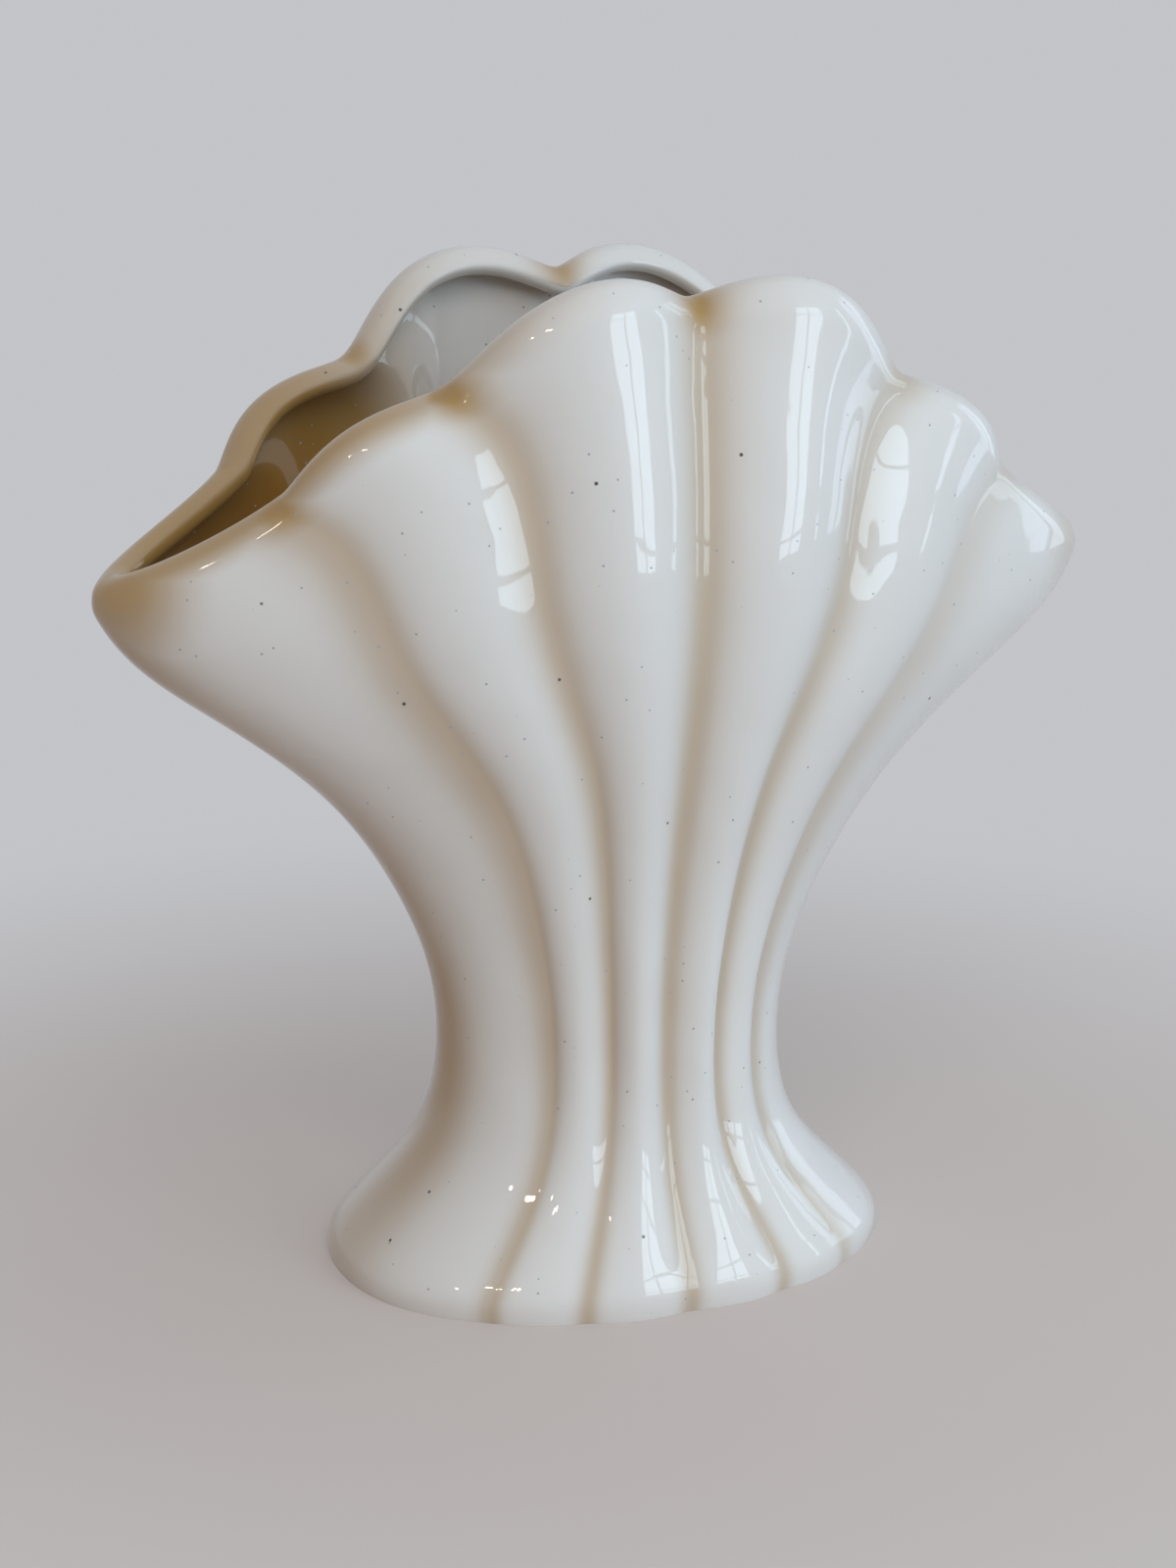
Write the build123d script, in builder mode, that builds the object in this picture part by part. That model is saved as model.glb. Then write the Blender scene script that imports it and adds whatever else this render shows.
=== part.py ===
from build123d import *
from collections import namedtuple
from math import acos, copysign, cos, hypot, pi, radians, sin
import os

os.makedirs("parts", exist_ok=True)

# Foot, in millimetres. Half sizes are taken at the grooves; the lobes stand out from them.
foot_half_length = 61.4
foot_half_depth = 46
foot_edge_height = 3.5
foot_undercut = 1.6
slope_half_length = 56.5
slope_half_depth = 43.5
slope_height = 10
ankle_half_length = 40.6
ankle_half_depth = 35
ankle_height = 27

# Neck, the narrowest place
neck_half_length = 35.2
neck_half_depth = 31
neck_height = 51

# Fan. Its ends lean out far and stay low, the middle of each face goes up nearly straight.
low_fan_half_length = 41.5
low_fan_half_depth = 33
low_fan_end_height = 76
low_fan_middle_height = 84
mid_fan_half_length = 58.9
mid_fan_half_depth = 39.5
mid_fan_end_height = 103
mid_fan_middle_height = 118
high_fan_half_length = 87.8
high_fan_half_depth = 44.5
high_fan_end_height = 126.5
high_fan_middle_height = 161

# Rim. The wall rolls inward over the crest, wide in the middle of a face, tight on the ends.
rim_half_length = 106
rim_half_depth = 40.5
rim_end_height = 153
rim_middle_height = 209.2
end_roll_radius = 6
middle_roll_radius = 7

# Wall, floor inside and ring under the foot
wall_thickness = 4.4
floor_thickness = 7
floor_corner_radius = 5
foot_ring_width = 6
foot_recess_depth = 2.5

# Lobes between the grooves: how far they stand out, and how far they arch above the rim
foot_lobe_depth = 1
neck_lobe_depth = 3.6
rim_lobe_depth = 7.5
rim_lobe_rise = 7.2

# Angles of the roll, from straight outward, at its start and at the lip
end_roll_angles = (-30, 85)
middle_roll_angles = (0, 135)
lip_steps = 4

# Places of the two grooves of a half face, as shares of the half length
inner_groove_foot_share = 0.37
inner_groove_neck_share = 0.345
inner_groove_rim_share = 0.475
outer_groove_foot_share = 0.67
outer_groove_neck_share = 0.655
outer_groove_rim_share = 0.765

# Four lobes and half of each end lobe show on a face; they get lower towards the ends
face_lobe_depth_shares = (0.52, 1, 1, 0.52)
face_lobe_rise_shares = (0.42, 1, 1, 0.42)
end_lobe_depth_share = 0.75
end_lobe_rise_share = 0.3
inner_lobe_share = 0.9

# Form of the plan, of the rim's arch and of one lobe's bulge
foot_squareness = 2.2
neck_squareness = 2.2
rim_squareness = 1.78
rim_arch_share = 0.65
outer_crease_share = 0.28
inner_crease_share = 0.45
groove_swing_power = 6
lobe_growth_power = 3
lobe_arch_power = 4
face_lobe_point_shares = (0, 0.09, 0.27, 0.5, 0.73, 0.91, 1)
end_lobe_point_shares = (0, 0.05, 0.14, 0.26, 0.38, 0.5, 0.62, 0.74, 0.86, 0.95, 1)

# Rise of each station, from the foot (-1) over the neck (0) to the rim (1): of the foot, of the
# wall above it, of the roll and of the rounded corner of the floor
foot_rise_shares = (-1, -1, -0.85)
wall_rise_shares = (-0.5, 0, 0.25, 0.5, 0.8)
roll_rise_shares = (0.93, 0.96, 0.98, 1, 1, 1, 1)
floor_rise_shares = (-0.65, -0.75, -0.85)
toe_share = 0.62

# Outer flank on the ends and in the middle of a face, as (out, up), from just below the table
end_flank = [
    (foot_half_length - foot_undercut, -foot_edge_height),
    (foot_half_length, foot_edge_height),
    (slope_half_length, slope_height),
    (ankle_half_length, ankle_height),
    (neck_half_length, neck_height),
    (low_fan_half_length, low_fan_end_height),
    (mid_fan_half_length, mid_fan_end_height),
    (high_fan_half_length, high_fan_end_height),
]
middle_flank = [
    (foot_half_depth - foot_undercut, -foot_edge_height),
    (foot_half_depth, foot_edge_height),
    (slope_half_depth, slope_height),
    (ankle_half_depth, ankle_height),
    (neck_half_depth, neck_height),
    (low_fan_half_depth, low_fan_middle_height),
    (mid_fan_half_depth, mid_fan_middle_height),
    (high_fan_half_depth, high_fan_middle_height),
]
end_roll_centre = (rim_half_length - end_roll_radius, rim_end_height - end_roll_radius)
middle_roll_centre = (rim_half_depth - middle_roll_radius, rim_middle_height - middle_roll_radius)

lobe_depth_shares = (*face_lobe_depth_shares, end_lobe_depth_share) * 2
lobe_rise_shares = (*face_lobe_rise_shares, end_lobe_rise_share) * 2
lobe_point_shares = (*[face_lobe_point_shares] * 4, end_lobe_point_shares) * 2

# A level is one closed ring of the skin, set by a point on the end and one on the middle of a face
Level = namedtuple("Level", "end middle rise lobe_share crease")


def blend(values, rise, power):
    """A value that runs from foot to neck to rim; the higher the power, the nearer the rim."""
    foot_value, neck_value, rim_value = values
    if rise < 0:
        return neck_value + (foot_value - neck_value) * -rise
    return neck_value + (rim_value - neck_value) * rise**power


def around(centre, radius, angle):
    """The point at a radius and an angle round a centre."""
    return (centre[0] + radius * cos(angle), centre[1] + radius * sin(angle))


def inset(outline, depth):
    """The points of an outline, each moved inward square to the line between its neighbours."""
    moved = []
    for i, (out, up) in enumerate(outline):
        before = outline[max(i - 1, 0)]
        after = outline[min(i + 1, len(outline) - 1)]
        along = (after[0] - before[0], after[1] - before[1])
        shift = depth / hypot(*along)
        moved.append((out - along[1] * shift, up + along[0] * shift))
    return moved


def roll_angles(angles):
    """The angles of the stations of the roll, from its start to the lip."""
    start, end = angles
    last = len(roll_rise_shares) - 1
    return [radians(start + (end - start) * i / last) for i in range(last + 1)]


def outer_outline(flank, roll_centre, radius, angles):
    """Flank and roll of the outer skin."""
    return [*flank, *[around(roll_centre, radius, angle) for angle in roll_angles(angles)]]


def inner_outline(flank, roll_centre, radius, angles):
    """Rounded lip, roll and flank of the inner skin, down to the edge of the floor."""
    start, *_, end = roll_angles(angles)
    lip_centre = around(roll_centre, radius - wall_thickness / 2, end)
    lip_angles = [end + pi * i / lip_steps for i in range(1, lip_steps)]
    lip = [around(lip_centre, wall_thickness / 2, angle) for angle in lip_angles]
    steps = reversed(roll_angles(angles)[::2])
    roll = [around(roll_centre, radius - wall_thickness, angle) for angle in steps]
    outer_start = around(roll_centre, radius, start)
    _, _, slope, ankle, *rest, _ = inset([*flank, outer_start], wall_thickness)
    toe_out = ankle[0] + (slope[0] - ankle[0]) * toe_share
    corner_centre = (toe_out - floor_corner_radius, floor_thickness + floor_corner_radius)
    corner = [around(corner_centre, floor_corner_radius, angle) for angle in (0, -pi / 4, -pi / 2)]
    return [*lip, *roll, *reversed(rest), ankle, *corner]


def squareness(rise):
    """How square the rounded oblong of the plan is; at 2 it is an ellipse."""
    return blend((foot_squareness, neck_squareness, rim_squareness), rise, lobe_growth_power)


def groove_angles(rise):
    """Angles of the ten grooves in plan, from the right end along the front and back again."""
    inner_shares = (inner_groove_foot_share, inner_groove_neck_share, inner_groove_rim_share)
    outer_shares = (outer_groove_foot_share, outer_groove_neck_share, outer_groove_rim_share)
    inner = blend(inner_shares, rise, groove_swing_power)
    outer = blend(outer_shares, rise, groove_swing_power)
    power = squareness(rise) / 2
    outer_angle, inner_angle = acos(outer**power), acos(inner**power)
    face = [outer_angle, inner_angle, pi / 2, pi - inner_angle, pi - outer_angle]
    return [*face, *[angle + pi for angle in face], outer_angle + 2 * pi]


def plan_share(ratio, rise):
    """One coordinate of the plan's rounded oblong, from the cosine or sine of its angle."""
    return copysign(abs(ratio) ** (2 / squareness(rise)), ratio)


def ring_point(level, lobe, share, angles):
    """The point at a share of the way across one lobe of a level."""
    soft = hypot(sin(pi * share), level.crease) - level.crease
    bulge = soft / (hypot(1, level.crease) - level.crease)
    depths = (foot_lobe_depth, neck_lobe_depth, rim_lobe_depth)
    depth = blend(depths, level.rise, lobe_growth_power)
    stand_out = depth * level.lobe_share * lobe_depth_shares[lobe] * bulge
    lift = rim_lobe_rise * max(level.rise, 0) ** lobe_arch_power * lobe_rise_shares[lobe] * bulge

    angle = angles[lobe] + (angles[lobe + 1] - angles[lobe]) * share
    across = plan_share(cos(angle), level.rise)
    back = plan_share(-sin(angle), level.rise)
    arch_full = hypot(1, rim_arch_share) - rim_arch_share
    arch = (hypot(across, rim_arch_share) - rim_arch_share) / arch_full
    height = level.middle[1] + (level.end[1] - level.middle[1]) * arch
    return Vector(
        (level.end[0] + stand_out) * across,
        (level.middle[0] + stand_out) * back,
        height + lift,
    )


def ring(level):
    """A closed ring of ten curves that meet at the grooves."""
    angles = groove_angles(level.rise)
    with BuildLine() as line:
        for lobe, shares in enumerate(lobe_point_shares):
            points = [ring_point(level, lobe, share, angles) for share in shares]
            add(Edge.make_spline(points, parameters=shares))
    return line.wire()


end_sizes = (end_flank, end_roll_centre, end_roll_radius, end_roll_angles)
middle_sizes = (middle_flank, middle_roll_centre, middle_roll_radius, middle_roll_angles)

outer_pairs = list(zip(outer_outline(*end_sizes), outer_outline(*middle_sizes)))
outer_rises = [*foot_rise_shares, *wall_rise_shares, *roll_rise_shares]
outer_levels = [
    Level(end, middle, rise, 1, outer_crease_share)
    for (end, middle), rise in zip(outer_pairs, outer_rises)
]

inner_pairs = list(zip(inner_outline(*end_sizes), inner_outline(*middle_sizes)))
inner_roll_rises = [*[1] * (lip_steps - 1), *reversed(roll_rise_shares[::2])]
inner_rises = [*inner_roll_rises, *reversed(wall_rise_shares), *floor_rise_shares]
inner_levels = [
    Level(end, middle, rise, inner_lobe_share, inner_crease_share)
    for (end, middle), rise in zip(inner_pairs, inner_rises)
]

# One skin goes up the outside, over the rim and down the inside to the floor
with BuildPart() as vase_body:
    add(Solid.make_loft([ring(level) for level in outer_levels + inner_levels]))
    split(bisect_by=Plane.XY, keep=Keep.TOP)
    with BuildSketch(Plane.XY):
        recess_half_length = foot_half_length - foot_ring_width
        recess_half_depth = foot_half_depth - foot_ring_width
        recess = Level((recess_half_length, 0), (recess_half_depth, 0), -1, 1, outer_crease_share)
        add(ring(recess))
        make_face()
    extrude(amount=foot_recess_depth, mode=Mode.SUBTRACT)

vase_body.part.label = "vase_body"
export_step(vase_body.part, "parts/vase_body.step")
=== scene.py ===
from collections import namedtuple
from math import cos, hypot, pi, radians, sin

import bpy
import numpy as np
from mathutils import Matrix, Vector


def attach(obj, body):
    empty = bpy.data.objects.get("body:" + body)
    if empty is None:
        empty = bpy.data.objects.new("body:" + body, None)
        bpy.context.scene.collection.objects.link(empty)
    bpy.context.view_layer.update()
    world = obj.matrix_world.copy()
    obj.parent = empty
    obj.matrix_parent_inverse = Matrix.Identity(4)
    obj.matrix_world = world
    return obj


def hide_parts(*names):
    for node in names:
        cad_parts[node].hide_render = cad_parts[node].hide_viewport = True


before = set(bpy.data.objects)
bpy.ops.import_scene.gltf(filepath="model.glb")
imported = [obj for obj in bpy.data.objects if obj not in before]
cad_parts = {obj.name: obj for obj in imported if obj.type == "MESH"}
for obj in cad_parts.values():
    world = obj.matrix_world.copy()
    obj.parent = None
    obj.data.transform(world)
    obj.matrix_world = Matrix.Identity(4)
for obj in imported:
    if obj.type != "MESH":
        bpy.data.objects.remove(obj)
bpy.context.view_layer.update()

# Foot, in metres. Half sizes are taken at the grooves; the lobes stand out from them.
foot_half_length = 0.0614
foot_half_depth = 0.046
foot_edge_height = 0.0035
foot_undercut = 0.0016
slope_half_length = 0.0565
slope_half_depth = 0.0435
slope_height = 0.010
ankle_half_length = 0.0406
ankle_half_depth = 0.035
ankle_height = 0.027

# Neck, the narrowest place
neck_half_length = 0.0352
neck_half_depth = 0.031
neck_height = 0.051

# Fan
low_fan_half_length = 0.0415
low_fan_half_depth = 0.033
low_fan_end_height = 0.076
low_fan_middle_height = 0.084
mid_fan_half_length = 0.0589
mid_fan_half_depth = 0.0395
mid_fan_end_height = 0.103
mid_fan_middle_height = 0.118
high_fan_half_length = 0.0878
high_fan_half_depth = 0.0445
high_fan_end_height = 0.1265
high_fan_middle_height = 0.161

# Rim
rim_half_length = 0.106
rim_half_depth = 0.0405
rim_end_height = 0.153
rim_middle_height = 0.2092
end_roll_radius = 0.006
middle_roll_radius = 0.007

# Wall, floor inside and ring under the foot
wall_thickness = 0.0044
floor_thickness = 0.007
floor_corner_radius = 0.005
foot_ring_width = 0.006
foot_recess_depth = 0.0025
foot_edge_softness = 0.0006

# Lobes between the grooves
foot_lobe_depth = 0.001
neck_lobe_depth = 0.0036
rim_lobe_depth = 0.0075
rim_lobe_rise = 0.0072

# Angles of the roll, from straight outward, at its start and at the lip
end_roll_angles = (-30, 85)
middle_roll_angles = (0, 135)
lip_steps = 4

# Places of the two grooves of a half face, as shares of the half length
inner_groove_foot_share = 0.37
inner_groove_neck_share = 0.345
inner_groove_rim_share = 0.475
outer_groove_foot_share = 0.67
outer_groove_neck_share = 0.655
outer_groove_rim_share = 0.765

# Lobes of a face and of the ends, and the form of the plan, of the rim's arch and of a bulge
face_lobe_depth_shares = (0.52, 1, 1, 0.52)
face_lobe_rise_shares = (0.42, 1, 1, 0.42)
end_lobe_depth_share = 0.75
end_lobe_rise_share = 0.3
inner_lobe_share = 0.9
foot_squareness = 2.2
neck_squareness = 2.2
rim_squareness = 1.78
rim_arch_share = 0.65
outer_crease_share = 0.28
inner_crease_share = 0.45
groove_swing_power = 6
lobe_growth_power = 3
lobe_arch_power = 4
foot_rise_shares = (-1, -1, -0.85)
wall_rise_shares = (-0.5, 0, 0.25, 0.5, 0.8)
roll_rise_shares = (0.93, 0.96, 0.98, 1, 1, 1, 1)
floor_rise_shares = (-0.65, -0.75, -0.85)
toe_share = 0.62

# Mesh: points across one lobe, longest steps along the skin and the rings of a flat disc
points_per_lobe = 48
flank_step = 0.0018
roll_step = 0.0008
disc_ring_shares = (0.06, 0.25, 0.45, 0.65, 0.85)

# Glaze: off-white, honey at a share of 1 and deep honey at 2, where glaze pools and where shade is
# painted; bare clay under it
glaze_color = (0.80, 0.79, 0.765, 1)
honey_pool_and_shade_color = (0.42, 0.25, 0.07, 1)
deep_honey_pool_and_shade_color = (0.30, 0.12, 0.0, 1)
clay_color = (0.52, 0.43, 0.33, 1)
base_roughness = 0.45
coat_roughness = 0.03
coat_index = 1.6
clay_roughness = 0.8

# Pooled glaze and painted shade in the grooves, wider towards the rim, and deeper where they dip
# over it
groove_pool_and_shade_share = 0.6
groove_pool_and_shade_power = 2
groove_pool_and_shade_reaches = (0.0045, 0.013)
groove_pool_and_shade_rise = (0.02, 0.14)
dip_pool_and_shade_share = 1.1
dip_pool_and_shade_reach = 0.020

# Pooled glaze and painted shade on both tips; painted shade along the left part of the rim and down
# the crest of the left end lobe
tip_pool_and_shade_share = 0.95
tip_pool_and_shade_reach = 0.016
tip_pool_and_shade_fade = 0.040
edge_shade_share = 0.9
edge_shade_reach = 0.009
edge_shade_run = (0.015, 0.070)
left_end_lobe = 4
ridge_shade_share = 1.05
ridge_shade_power = 6
ridge_shade_rise = (-0.04, 0.06)

# Painted shade inside, from the middle to the ends and downward, and the share of all pools and
# painted shade that is left at the right
inside_shade_share = 2.3
inside_shade_run = (0.012, 0.072)
inside_shade_reach = 0.045
# At the right the pools and painted shade are cut to this share, so that side is painted lighter,
# as if lit
right_shade_share = 0.4
right_light_run = (0.0, 0.07)

# Speckles: cell size and radius of the fine blue-grey and of the few dark ones
fine_speck_cell = 0.0042
fine_speck_radius = 0.00034
fine_speck_color = (0.40, 0.41, 0.43, 1)
dark_speck_cell = 0.0105
dark_speck_radius = 0.0005
dark_speck_color = (0.045, 0.036, 0.030, 1)

# Slow unevenness of the glaze, a fine orange peel and soft clouds of tone
wave_size = 0.016
wave_height = 0.00045
wave_detail = 1.0
peel_size = 0.0022
peel_height = 0.000006
peel_detail = 0.0
cloud_size = 0.03
cloud_share = 0.05
cloud_detail = 3.0

# Soft panels at the front right: two columns and a narrow one, each of three panels one above
# another. Turns are degrees from the front, to the right.
front_turns = (19.5, 33)
front_width = 0.16
front_brightness = 3.2
narrow_turn = 63
narrow_width = 0.05
narrow_brightness = 2.2
front_distance = 0.78
front_rows = ((0.002, 0.062), (0.080, 0.265), (0.283, 0.46))

# Two tall panels at the right side
side_turns = (87, 98)
side_width = 0.12
side_brightness = 1.1
side_distance = 0.8
side_row = (0, 0.6)

# Two large fills that light the glaze and don't show in it
left_fill_turn = -22
left_fill_brightness = 2.7
right_fill_turn = 34
right_fill_brightness = 0.9
fill_width = 0.9
fill_distance = 1.1
fill_row = (0.6, 1.5)

# Small warm lamps at the left, raised by degrees
spot_turns = (-45.5, -49.5, -62)
spot_rises = (32, 33, 29)
spot_distance = 1.25
spot_radius = 0.026
spot_brightness = 26

# Colours of the lamps, and tones of the light from all round: left, right and above
cool_light = (0.70, 0.88, 1.0)
plain_light = (1.0, 1.0, 1.0)
warm_light = (1.0, 0.84, 0.66)
left_tone = (0.095, 0.065, 0.04, 1)
right_tone = (0.42, 0.52, 0.65, 1)
upper_tone = (0.47, 0.455, 0.44, 1)
left_to_right_run = (-0.8, 0.6)
upper_run = (0.3, 1.0)

# Floor and backdrop; away from the vase the floor is painted darker, as shade, and the camera
# sees it run over into the backdrop's tone
backdrop_color = (0.545, 0.555, 0.58, 1)
floor_color = (0.68, 0.59, 0.545, 1)
shaded_far_floor_color = (0.13, 0.105, 0.085, 1)
floor_near_share = 0.25
floor_run_out = (0.08, 0.36)
floor_shade_run = (0.36, 1.0)
floor_roughness = 0.9
floor_specular = 0.1
floor_reach = 60.0

# Camera at the photograph's viewing angle, for a frame of 1200 by 1600
camera_azimuth = -23.469
camera_elevation = 14.977
camera_roll = 0.77
camera_distance = 0.62814
camera_lens_mm = 67.5
aim_height = 0.105
aim_right = -0.004989
aim_up = -0.002248

end_flank = [
    (foot_half_length - foot_undercut, -foot_edge_height),
    (foot_half_length, foot_edge_height),
    (slope_half_length, slope_height),
    (ankle_half_length, ankle_height),
    (neck_half_length, neck_height),
    (low_fan_half_length, low_fan_end_height),
    (mid_fan_half_length, mid_fan_end_height),
    (high_fan_half_length, high_fan_end_height),
]
middle_flank = [
    (foot_half_depth - foot_undercut, -foot_edge_height),
    (foot_half_depth, foot_edge_height),
    (slope_half_depth, slope_height),
    (ankle_half_depth, ankle_height),
    (neck_half_depth, neck_height),
    (low_fan_half_depth, low_fan_middle_height),
    (mid_fan_half_depth, mid_fan_middle_height),
    (high_fan_half_depth, high_fan_middle_height),
]
end_roll_centre = (rim_half_length - end_roll_radius, rim_end_height - end_roll_radius)
middle_roll_centre = (rim_half_depth - middle_roll_radius, rim_middle_height - middle_roll_radius)

lobe_depth_shares = (*face_lobe_depth_shares, end_lobe_depth_share) * 2
lobe_rise_shares = (*face_lobe_rise_shares, end_lobe_rise_share) * 2

Level = namedtuple("Level", "end middle rise lobe_share crease")


def blend(values, rise, power):
    """A value that runs from foot to neck to rim; the higher the power, the nearer the rim."""
    foot_value, neck_value, rim_value = values
    if rise < 0:
        return neck_value + (foot_value - neck_value) * -rise
    return neck_value + (rim_value - neck_value) * rise**power


def around(centre, radius, angle):
    """The point at a radius and an angle round a centre."""
    return (centre[0] + radius * cos(angle), centre[1] + radius * sin(angle))


def inset(outline, depth):
    """The points of an outline, each moved inward square to the line between its neighbours."""
    moved = []
    for i, (out, up) in enumerate(outline):
        before = outline[max(i - 1, 0)]
        after = outline[min(i + 1, len(outline) - 1)]
        along = (after[0] - before[0], after[1] - before[1])
        shift = depth / hypot(*along)
        moved.append((out - along[1] * shift, up + along[0] * shift))
    return moved


def roll_angles(angles):
    """The angles of the stations of the roll, from its start to the lip."""
    start, end = angles
    last = len(roll_rise_shares) - 1
    return [radians(start + (end - start) * i / last) for i in range(last + 1)]


def outer_outline(flank, roll_centre, radius, angles):
    """Flank and roll of the outer skin."""
    return [*flank, *[around(roll_centre, radius, angle) for angle in roll_angles(angles)]]


def inner_outline(flank, roll_centre, radius, angles):
    """Rounded lip, roll and flank of the inner skin, down to the edge of the floor."""
    start, *_, end = roll_angles(angles)
    lip_centre = around(roll_centre, radius - wall_thickness / 2, end)
    lip_angles = [end + pi * i / lip_steps for i in range(1, lip_steps)]
    lip = [around(lip_centre, wall_thickness / 2, angle) for angle in lip_angles]
    steps = reversed(roll_angles(angles)[::2])
    roll = [around(roll_centre, radius - wall_thickness, angle) for angle in steps]
    outer_start = around(roll_centre, radius, start)
    _, _, slope, ankle, *rest, _ = inset([*flank, outer_start], wall_thickness)
    toe_out = ankle[0] + (slope[0] - ankle[0]) * toe_share
    corner_centre = (toe_out - floor_corner_radius, floor_thickness + floor_corner_radius)
    corner = [around(corner_centre, floor_corner_radius, angle) for angle in (0, -pi / 4, -pi / 2)]
    return [*lip, *roll, *reversed(rest), ankle, *corner]


def squareness(rise):
    """How square the rounded oblong of the plan is; at 2 it is an ellipse."""
    return blend((foot_squareness, neck_squareness, rim_squareness), rise, lobe_growth_power)


def groove_angles(rise):
    """Angles of the ten grooves in plan, from the right end along the front and back again."""
    inner_shares = (inner_groove_foot_share, inner_groove_neck_share, inner_groove_rim_share)
    outer_shares = (outer_groove_foot_share, outer_groove_neck_share, outer_groove_rim_share)
    inner = blend(inner_shares, rise, groove_swing_power)
    outer = blend(outer_shares, rise, groove_swing_power)
    power = squareness(rise) / 2
    outer_angle, inner_angle = np.arccos(outer**power), np.arccos(inner**power)
    face = [outer_angle, inner_angle, pi / 2, pi - inner_angle, pi - outer_angle]
    return [*face, *[angle + pi for angle in face], outer_angle + 2 * pi]


def bulge_across(shares, crease):
    """How full a lobe is at shares of its width, from 0 in the grooves to 1 at the crest."""
    soft = np.hypot(np.sin(pi * shares), crease) - crease
    return soft / (hypot(1, crease) - crease)


def ring_points(level):
    """All points of one closed ring of the skin."""
    angles = groove_angles(level.rise)
    shares = np.arange(points_per_lobe) / points_per_lobe
    bulge = bulge_across(shares, level.crease)
    depths = (foot_lobe_depth, neck_lobe_depth, rim_lobe_depth)
    depth = blend(depths, level.rise, lobe_growth_power)
    power = 2 / squareness(level.rise)
    arch_full = hypot(1, rim_arch_share) - rim_arch_share
    lobes = []
    for lobe, (depth_share, rise_share) in enumerate(zip(lobe_depth_shares, lobe_rise_shares)):
        stand_out = depth * level.lobe_share * depth_share * bulge
        lift = rim_lobe_rise * max(level.rise, 0) ** lobe_arch_power * rise_share * bulge
        angle = angles[lobe] + (angles[lobe + 1] - angles[lobe]) * shares
        across = np.sign(np.cos(angle)) * np.abs(np.cos(angle)) ** power
        back = -np.sign(np.sin(angle)) * np.abs(np.sin(angle)) ** power
        arch = (np.hypot(across, rim_arch_share) - rim_arch_share) / arch_full
        height = level.middle[1] + (level.end[1] - level.middle[1]) * arch + lift
        x = (level.end[0] + stand_out) * across
        y = (level.middle[0] + stand_out) * back
        lobes.append(np.stack([x, y, height], axis=1))
    return np.concatenate(lobes)


def smooth_through(rings, places, wanted):
    """Rings at the wanted places of a smooth cubic curve through given rings, for every column."""
    count = len(places)
    gaps = np.diff(places)
    matrix = np.eye(count)
    slopes = np.diff(rings, axis=0) / gaps[:, None, None]
    right = np.zeros_like(rings)
    for i in range(1, count - 1):
        matrix[i, i - 1 : i + 2] = gaps[i - 1], 2 * (gaps[i - 1] + gaps[i]), gaps[i]
        right[i] = 6 * (slopes[i] - slopes[i - 1])
    bends = np.linalg.solve(matrix, right.reshape(count, -1)).reshape(rings.shape)
    i = np.clip(np.searchsorted(places, wanted, side="right") - 1, 0, count - 2)
    gap = gaps[i][:, None, None]
    past = (wanted - places[i])[:, None, None]
    left = gap - past
    curve = bends[i] * left**3 + bends[i + 1] * past**3
    line = rings[i] * left + rings[i + 1] * past
    sag = bends[i] * left + bends[i + 1] * past
    return curve / (6 * gap) + line / gap - sag * gap / 6


def skin_levels():
    """The stations of the skin, up the outside, over the rim and down the inside."""
    end_sizes = (end_flank, end_roll_centre, end_roll_radius, end_roll_angles)
    middle_sizes = (middle_flank, middle_roll_centre, middle_roll_radius, middle_roll_angles)
    outer_pairs = list(zip(outer_outline(*end_sizes), outer_outline(*middle_sizes)))
    outer_rises = [*foot_rise_shares, *wall_rise_shares, *roll_rise_shares]
    inner_pairs = list(zip(inner_outline(*end_sizes), inner_outline(*middle_sizes)))
    inner_roll_rises = [*[1] * (lip_steps - 1), *reversed(roll_rise_shares[::2])]
    inner_rises = [*inner_roll_rises, *reversed(wall_rise_shares), *floor_rise_shares]
    outer = [
        Level(end, middle, rise, 1, outer_crease_share)
        for (end, middle), rise in zip(outer_pairs, outer_rises)
    ]
    inner = [
        Level(end, middle, rise, inner_lobe_share, inner_crease_share)
        for (end, middle), rise in zip(inner_pairs, inner_rises)
    ]
    return outer, inner


def soft_step(values, low, high):
    """A smooth run from 0 at the low value to 1 at the high one."""
    share = np.clip((values - low) / (high - low), 0, 1)
    return share * share * (3 - 2 * share)


def skin_rows():
    """Rows of points up the outside, over the rim and down the inside, with their places.

    The places of the crest of the roll and of the lip come with them.
    """
    outer, inner = skin_levels()
    rings = np.array([ring_points(level) for level in outer + inner])
    steps = np.linalg.norm(np.diff(rings, axis=0), axis=2)
    places = np.concatenate([[0], np.cumsum(steps.mean(axis=1))])

    roll_first = len(foot_rise_shares) + len(wall_rise_shares)
    roll_last = len(outer) + lip_steps + len(roll_rise_shares) // 2
    wanted = []
    for i, longest in enumerate(steps.max(axis=1)):
        step = roll_step if roll_first <= i < roll_last else flank_step
        count = int(np.ceil(longest / step))
        wanted.extend(np.linspace(places[i], places[i + 1], count, endpoint=False))
    wanted = np.array([*wanted, places[-1]])
    rows = smooth_through(rings, places, wanted)

    # The lowest station lies below height 0, and the skin starts where it crosses that height
    heights = rows[:, :, 2].mean(axis=1)
    first = int(np.argmax(heights > 0))
    start = np.interp(0, heights[first - 1 : first + 1], wanted[first - 1 : first + 1])
    bottom = smooth_through(rings, places, np.array([start]))
    bottom[:, :, 2] = 0
    rows = np.concatenate([bottom, rows[first:]])
    row_places = np.concatenate([[start], wanted[first:]])
    crest_place = places[roll_first + len(roll_rise_shares) // 2]
    return rows, row_places, crest_place, places[len(outer)]


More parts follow.
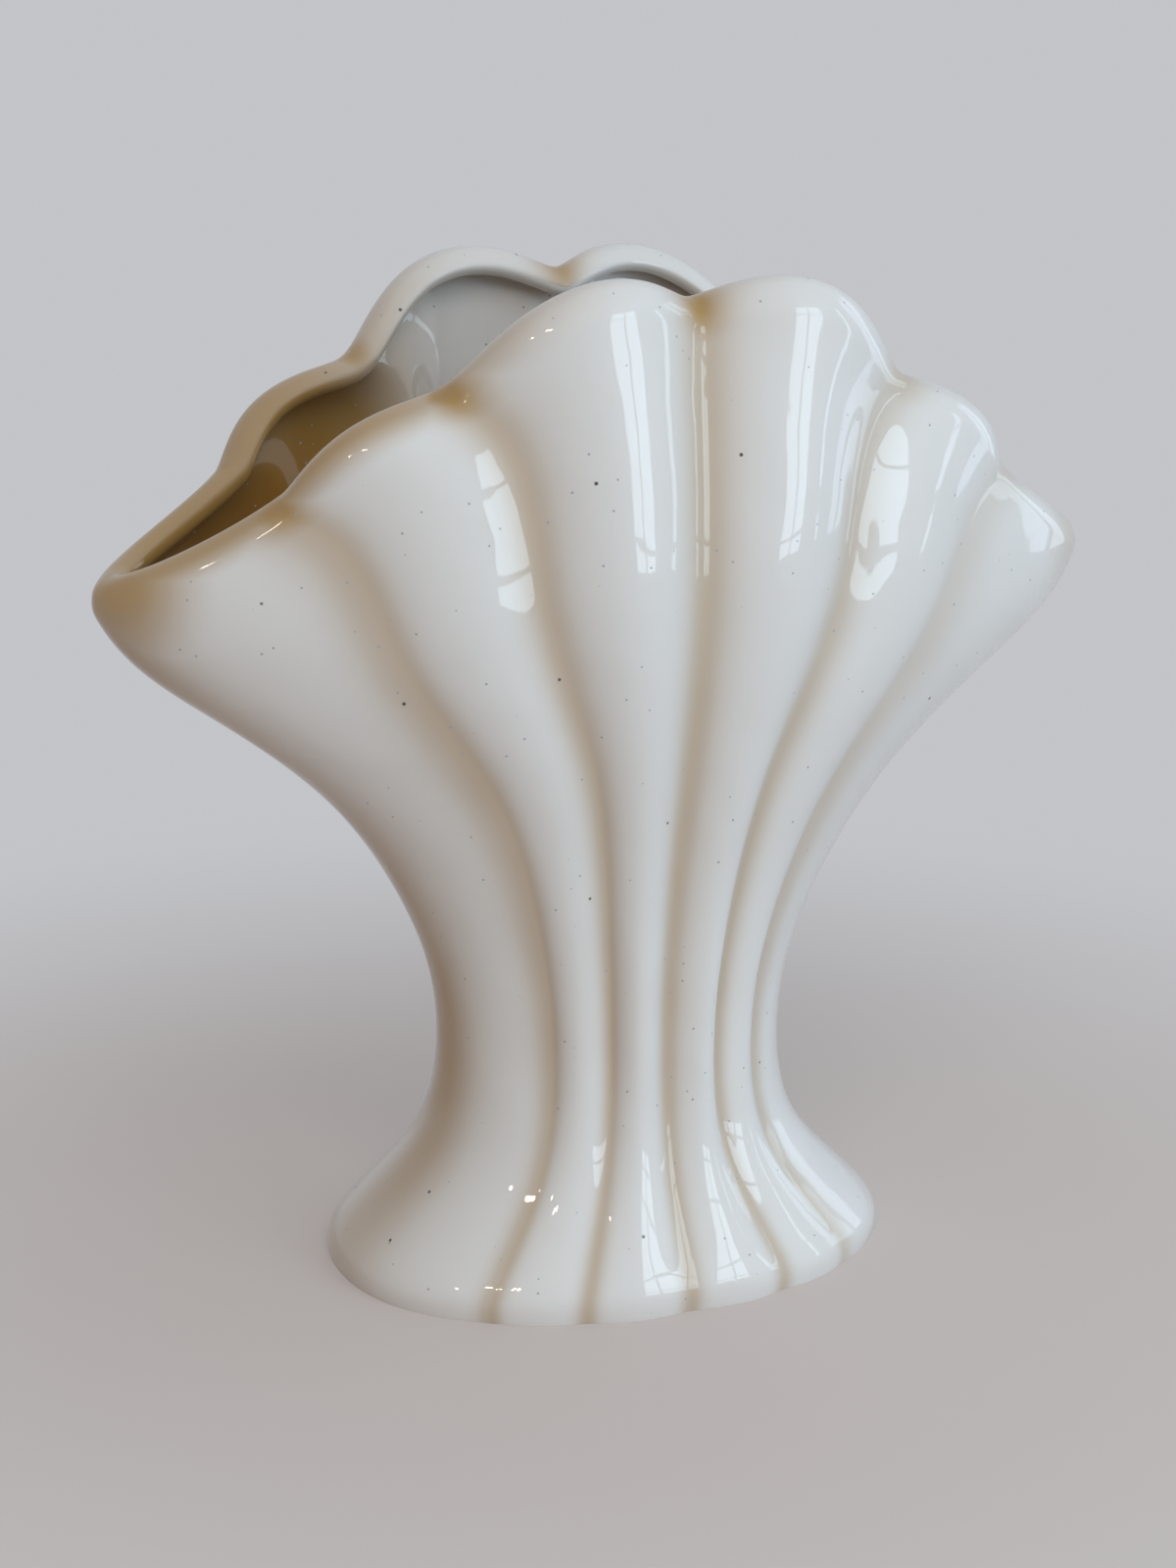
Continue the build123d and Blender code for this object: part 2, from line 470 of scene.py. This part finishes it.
def shrunk_rings(ring, shares, height):
    """Rings of a flat disc: a ring drawn in to shares of its size, at one height."""
    rings = np.array([ring * share for share in shares])
    rings[:, :, 2] = height
    return rings


def inward_ring(ring, inward, height):
    """A ring of the foot drawn in by a width, at one height."""
    moved = ring * [1 - inward / foot_half_length, 1 - inward / foot_half_depth, 0]
    moved[:, 2] = height
    return moved


def underside(bottom):
    """Rows under the foot, from the middle out: the recess and the dry ring."""
    steps = (
        (foot_ring_width + 2 * foot_edge_softness, foot_recess_depth),
        (foot_ring_width + foot_edge_softness, foot_recess_depth - foot_edge_softness),
        (foot_ring_width, foot_edge_softness),
        (foot_ring_width - foot_edge_softness, 0),
        (foot_edge_softness, 0),
    )
    rings = np.array([inward_ring(bottom, inward, up) for inward, up in steps])
    inner = shrunk_rings(rings[0], disc_ring_shares, foot_recess_depth)
    return np.concatenate([inner, rings])


def from_groove(rows):
    """The way along its ring from each point of the skin to the nearest groove."""
    steps = np.linalg.norm(np.roll(rows, -1, axis=1) - rows, axis=2)
    steps = steps.reshape(len(rows), -1, points_per_lobe)
    done = np.cumsum(steps, axis=2)
    past = done - steps
    left = done[:, :, -1:] - past
    return np.minimum(past, left).reshape(len(rows), -1)


def groove_pools_and_shade(rows, past_crest, bulge):
    """Glaze pooled and shade painted in the grooves, and more of both near the rim, where they dip.
    """
    low_reach, high_reach = groove_pool_and_shade_reaches
    rise = soft_step(rows[:, :, 2], *groove_pool_and_shade_rise)
    reach = low_reach + (high_reach - low_reach) * rise
    depth = 1 - np.tile(bulge, len(lobe_depth_shares))
    groove = (depth * np.exp(-((from_groove(rows) / reach) ** 2))) ** groove_pool_and_shade_power
    near_rim = 1 - soft_step(np.abs(past_crest), 0, dip_pool_and_shade_reach)
    return groove * np.maximum(groove_pool_and_shade_share, dip_pool_and_shade_share * near_rim)


def end_pools_and_shade(rows, past_crest, bulge):
    """Glaze pooled and shade painted on both tips, and shade painted along the left rim and down
    the crest of the left end lobe.
    """
    x, z = rows[:, :, 0], rows[:, :, 2]
    tips = tip_pool_and_shade_share * soft_step(np.abs(x), rim_half_length - tip_pool_and_shade_reach, rim_half_length)
    tips = tips * (1 - soft_step(np.abs(past_crest), 0, tip_pool_and_shade_fade))
    edge = edge_shade_share * soft_step(-x, *edge_shade_run)
    edge = edge * (1 - soft_step(-past_crest, 0, edge_shade_reach))
    ridge = np.zeros((len(lobe_depth_shares), points_per_lobe))
    ridge[left_end_lobe] = ridge_shade_share * bulge**ridge_shade_power
    ridge = ridge.ravel() * soft_step(z, *ridge_shade_rise)
    return np.maximum(np.maximum(tips, edge), ridge)


def inside_shade(rows, past_lip):
    """Shade painted on the inner wall, more of it towards the ends and further down."""
    ends = soft_step(np.abs(rows[:, :, 0]), *inside_shade_run)
    deeper = soft_step(past_lip, 0, inside_shade_reach)
    return inside_shade_share * ends * (1 + deeper) / 2


def pool_and_shade_amounts(rows, places, crest_place, lip_place):
    """How much glaze has pooled and shade is painted at each point of the skin: 0 is none, 1 honey,
    2 deep honey.
    """
    bulge = bulge_across(np.arange(points_per_lobe) / points_per_lobe, inner_crease_share)
    past_crest = (places - crest_place)[:, None]
    past_lip = (places - lip_place)[:, None]
    outside = np.maximum(groove_pools_and_shade(rows, past_crest, bulge), end_pools_and_shade(rows, past_crest, bulge))
    # The right side keeps only a share of the pools and painted shade: it is painted lighter there,
    # as if lit.
    right_lightening = 1 - (1 - right_shade_share) * soft_step(rows[:, :, 0], *right_light_run)
    return np.where(past_lip > 0, inside_shade(rows, past_lip), outside) * right_lightening


def build_vase():
    """The glazed body: one closed skin of even quads, with its pooled glaze, painted shade and bare
    clay.
    """
    rows, places, crest_place, lip_place = skin_rows()
    under = underside(rows[0])
    floor = shrunk_rings(rows[-1], disc_ring_shares[::-1], floor_thickness)
    skin = np.concatenate([under, rows, floor])
    row_count, around_count = skin.shape[:2]

    low = row_count * around_count
    high = low + 1
    centres = [[0, 0, foot_recess_depth], [0, 0, floor_thickness]]
    points = np.concatenate([skin.reshape(-1, 3), centres])
    index = np.arange(low).reshape(row_count, around_count)
    beside = np.roll(index, -1, axis=1)
    quads = np.stack([index[:-1], index[1:], beside[1:], beside[:-1]], axis=-1)
    faces = quads.reshape(-1, 4).tolist()
    faces += [[low, *pair] for pair in zip(index[0].tolist(), beside[0].tolist())]
    faces += [[high, *pair] for pair in zip(beside[-1].tolist(), index[-1].tolist())]

    mesh = bpy.data.meshes.new("glazed_vase")
    mesh.from_pydata(points.tolist(), [], faces)
    mesh.update()
    mesh.polygons.foreach_set("use_smooth", np.ones(len(mesh.polygons), dtype=bool))

    # The inner floor gets the full painted shade of the inside; under the foot the bare clay covers
    # it.
    pool_and_shade = np.full((row_count, around_count), inside_shade_share)
    pool_and_shade[len(under) : len(under) + len(rows)] = pool_and_shade_amounts(rows, places, crest_place, lip_place)
    bare = np.zeros((row_count, around_count))
    bare[: len(under)] = 1
    for name, values in (("pool_and_shade", pool_and_shade), ("bare", bare)):
        at_centres = [values[0, 0], values[-1, 0]]
        attribute = mesh.attributes.new(name, "FLOAT", "POINT")
        every = np.concatenate([values.ravel(), at_centres]).astype(np.float32)
        attribute.data.foreach_set("value", every)
    vase = bpy.data.objects.new("glazed_vase", mesh)
    bpy.context.scene.collection.objects.link(vase)
    return vase


def add_node(tree, kind, settings=None, inputs=None):
    """A shader node with settings by name and inputs by name or number, values or sockets."""
    made = tree.nodes.new(kind)
    for name, value in (settings or {}).items():
        setattr(made, name, value)
    for name, value in (inputs or {}).items():
        if isinstance(value, bpy.types.NodeSocket):
            tree.links.new(value, made.inputs[name])
        else:
            made.inputs[name].default_value = value
    return made


def calculate(tree, operation, *values):
    """The result of a math node."""
    made = add_node(tree, "ShaderNodeMath", {"operation": operation}, dict(enumerate(values)))
    return made.outputs[0]


def mix_colors(tree, share, first, second):
    """A colour between two, as a share of the second."""
    inputs = {"Factor": share, 6: first, 7: second}
    return add_node(tree, "ShaderNodeMix", {"data_type": "RGBA"}, inputs).outputs[2]


def ramp(tree, value, low, high):
    """A smooth run from 0 at the low value to 1 at the high one."""
    settings = {"interpolation_type": "SMOOTHSTEP"}
    inputs = {"Value": value, "From Min": low, "From Max": high}
    return add_node(tree, "ShaderNodeMapRange", settings, inputs).outputs["Result"]


def noise(tree, place, size, detail):
    """Smooth random tone with clouds of about a size."""
    inputs = {"Vector": place, "Scale": 1 / size, "Detail": detail}
    return add_node(tree, "ShaderNodeTexNoise", None, inputs).outputs["Fac"]


def specks(tree, place, cell, radius):
    """1 in small round specks spread at random, one to a cell, else 0."""
    cells = add_node(tree, "ShaderNodeTexVoronoi", None, {"Vector": place, "Scale": 1 / cell})
    edge = radius / cell
    return calculate(tree, "SUBTRACT", 1.0, ramp(tree, cells.outputs["Distance"], edge / 2, edge))


def attribute(tree, name):
    """A value stored at the points of the mesh."""
    return add_node(tree, "ShaderNodeAttribute", {"attribute_name": name}).outputs["Fac"]


def glaze_material():
    """Glossy off-white glaze with honey pools and painted warm shade, specks and slow unevenness;
    bare clay underneath.
    """
    material = bpy.data.materials.new("off_white_glaze")
    material.use_nodes = True
    tree = material.node_tree
    shader = tree.nodes["Principled BSDF"]
    place = add_node(tree, "ShaderNodeTexCoord").outputs["Object"]

    cloud = noise(tree, place, cloud_size, cloud_detail)
    drift = calculate(tree, "MULTIPLY_ADD", cloud, 2 * cloud_share, -cloud_share)
    pool_and_shade = calculate(tree, "ADD", attribute(tree, "pool_and_shade"), drift)
    pool_and_shade = calculate(tree, "MAXIMUM", pool_and_shade, 0.0)
    # Honey and deep honey stand for pooled glaze and for painted warm shade.
    color = mix_colors(tree, pool_and_shade, glaze_color, honey_pool_and_shade_color)
    deep = calculate(tree, "SUBTRACT", pool_and_shade, 1.0)
    color = mix_colors(tree, deep, color, deep_honey_pool_and_shade_color)
    fine = specks(tree, place, fine_speck_cell, fine_speck_radius)
    color = mix_colors(tree, fine, color, fine_speck_color)
    dark = specks(tree, place, dark_speck_cell, dark_speck_radius)
    color = mix_colors(tree, dark, color, dark_speck_color)
    bare = attribute(tree, "bare")
    color = mix_colors(tree, bare, color, clay_color)
    tree.links.new(color, shader.inputs["Base Color"])

    wave = noise(tree, place, wave_size, wave_detail)
    peel = noise(tree, place, peel_size, peel_detail)
    wave_part = calculate(tree, "MULTIPLY", wave, wave_height)
    peel_part = calculate(tree, "MULTIPLY", peel, peel_height)
    height = calculate(tree, "ADD", wave_part, peel_part)
    bump = add_node(tree, "ShaderNodeBump", None, {"Height": height, "Distance": 1.0})
    tree.links.new(bump.outputs["Normal"], shader.inputs["Normal"])
    tree.links.new(bump.outputs["Normal"], shader.inputs["Coat Normal"])

    rough = calculate(tree, "MULTIPLY_ADD", bare, clay_roughness - base_roughness, base_roughness)
    tree.links.new(rough, shader.inputs["Roughness"])
    glazed = calculate(tree, "SUBTRACT", 1.0, bare)
    tree.links.new(glazed, shader.inputs["Coat Weight"])
    shader.inputs["Coat Roughness"].default_value = coat_roughness
    shader.inputs["Coat IOR"].default_value = coat_index
    return material


def seen_share(tree):
    """1 for rays of the camera, of reflections and through glass, else 0."""
    rays = add_node(tree, "ShaderNodeLightPath").outputs
    seen = calculate(tree, "MAXIMUM", rays["Is Camera Ray"], rays["Is Glossy Ray"])
    return calculate(tree, "MAXIMUM", seen, rays["Is Transmission Ray"])


def floor_material():
    """A plain matt pale floor, painted darker away from the vase as shade, and seen to run over
    into the backdrop's tone away from the vase.
    """
    material = bpy.data.materials.new("pale_floor")
    material.use_nodes = True
    tree = material.node_tree
    shader = tree.nodes["Principled BSDF"]
    shader.inputs["Roughness"].default_value = floor_roughness
    shader.inputs["Specular IOR Level"].default_value = floor_specular
    glow = add_node(tree, "ShaderNodeEmission", None, {"Color": backdrop_color})
    place = add_node(tree, "ShaderNodeTexCoord").outputs["Object"]
    away = add_node(tree, "ShaderNodeVectorMath", {"operation": "LENGTH"}, {0: place})
    far = ramp(tree, away.outputs["Value"], *floor_run_out)
    # Painted shade: the floor darkens away from the vase.
    floor_shade = ramp(tree, away.outputs["Value"], *floor_shade_run)
    color = mix_colors(tree, floor_shade, floor_color, shaded_far_floor_color)
    tree.links.new(color, shader.inputs["Base Color"])
    lifted = calculate(tree, "MULTIPLY_ADD", far, 1 - floor_near_share, floor_near_share)
    share = calculate(tree, "MULTIPLY", lifted, seen_share(tree))
    inputs = {"Fac": share, 1: shader.outputs[0], 2: glow.outputs[0]}
    mixed = add_node(tree, "ShaderNodeMixShader", None, inputs)
    tree.links.new(mixed.outputs[0], tree.nodes["Material Output"].inputs["Surface"])
    return material


def build_floor():
    """A plain pale floor, far larger than the view."""
    signs = ((-1, -1), (1, -1), (1, 1), (-1, 1))
    corners = [(x * floor_reach, y * floor_reach, 0) for x, y in signs]
    mesh = bpy.data.meshes.new("floor")
    mesh.from_pydata(corners, [], [(0, 1, 2, 3)])
    floor = bpy.data.objects.new("floor", mesh)
    bpy.context.scene.collection.objects.link(floor)
    mesh.materials.append(floor_material())


def from_front(turn, distance, height):
    """The point at a turn in degrees from the front, a distance from the middle and a height."""
    return Vector((distance * sin(radians(turn)), -distance * cos(radians(turn)), height))


def add_lamp(name, data, position, color):
    """Place a lamp that the camera doesn't see."""
    data.color = color
    lamp = bpy.data.objects.new(name, data)
    lamp.location = position
    lamp.visible_camera = False
    bpy.context.scene.collection.objects.link(lamp)
    return lamp


def panel(name, turn, distance, row, width, brightness, color):
    """A level rectangular lamp that faces the middle, between the two heights of its row."""
    low, high = row
    data = bpy.data.lights.new(name, "AREA")
    data.shape = "RECTANGLE"
    data.size = width
    data.size_y = high - low
    data.energy = brightness * pi * width * (high - low)
    lamp = add_lamp(name, data, from_front(turn, distance, (low + high) / 2), color)
    lamp.rotation_euler = (pi / 2, 0, radians(turn))
    return lamp


def ball(name, turn, rise, brightness):
    """A small round lamp, raised by an angle."""
    data = bpy.data.lights.new(name, "POINT")
    data.shadow_soft_size = spot_radius
    data.energy = brightness * (2 * pi * spot_radius) ** 2
    flat = spot_distance * cos(radians(rise))
    position = from_front(turn, flat, aim_height + spot_distance * sin(radians(rise)))
    add_lamp(name, data, position, warm_light)


def set_lights():
    """Panels at the front right and the right side, two fills and small warm lamps at the left."""
    columns = [(turn, front_width, front_brightness) for turn in front_turns]
    columns.append((narrow_turn, narrow_width, narrow_brightness))
    for column, (turn, width, brightness) in enumerate(columns):
        for number, row in enumerate(front_rows):
            name = f"front_panel_{column}_{number}"
            panel(name, turn, front_distance, row, width, brightness, cool_light)
    for number, turn in enumerate(side_turns):
        name = f"side_panel_{number}"
        panel(name, turn, side_distance, side_row, side_width, side_brightness, cool_light)
    fills = (
        ("left_fill", left_fill_turn, left_fill_brightness, plain_light),
        ("right_fill", right_fill_turn, right_fill_brightness, cool_light),
    )
    for name, turn, brightness, color in fills:
        fill = panel(name, turn, fill_distance, fill_row, fill_width, brightness, color)
        fill.visible_glossy = False
    for number, (turn, rise) in enumerate(zip(spot_turns, spot_rises)):
        ball(f"warm_spot_{number}", turn, rise, spot_brightness)


def set_world():
    """Soft light from all round, and the backdrop's tone where it is seen."""
    world = bpy.data.worlds.new("studio")
    bpy.context.scene.world = world
    world.use_nodes = True
    tree = world.node_tree
    place = add_node(tree, "ShaderNodeTexCoord").outputs["Generated"]
    parts = add_node(tree, "ShaderNodeSeparateXYZ", None, {"Vector": place})
    across = ramp(tree, parts.outputs["X"], *left_to_right_run)
    above = ramp(tree, parts.outputs["Z"], *upper_run)
    tone = mix_colors(tree, across, left_tone, right_tone)
    tone = mix_colors(tree, above, tone, upper_tone)
    color = mix_colors(tree, seen_share(tree), tone, backdrop_color)
    tree.links.new(color, tree.nodes["Background"].inputs["Color"])


def set_camera():
    """The camera at the photograph's place, slightly above and to the left of the front."""
    azimuth = radians(camera_azimuth)
    elevation = radians(camera_elevation)
    back = Vector((sin(azimuth) * cos(elevation), -cos(azimuth) * cos(elevation), sin(elevation)))
    right = (-back).cross(Vector((0, 0, 1))).normalized()
    up = right.cross(-back)
    turn = radians(camera_roll)
    rolled_right = right * cos(turn) + up * sin(turn)
    rolled_up = up * cos(turn) - right * sin(turn)
    target = Vector((0, 0, aim_height)) + rolled_right * aim_right + rolled_up * aim_up
    data = bpy.data.cameras.new("photo_view")
    data.lens = camera_lens_mm
    camera = bpy.data.objects.new("photo_view", data)
    axes = Matrix((rolled_right, rolled_up, back)).transposed()
    camera.matrix_world = Matrix.Translation(target + back * camera_distance) @ axes.to_4x4()
    bpy.context.scene.collection.objects.link(camera)
    bpy.context.scene.camera = camera


vase = build_vase()
vase.data.materials.append(glaze_material())
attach(vase, "root")
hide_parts("vase_body")
build_floor()
set_lights()
set_world()
set_camera()
bpy.context.scene.view_settings.view_transform = "Standard"
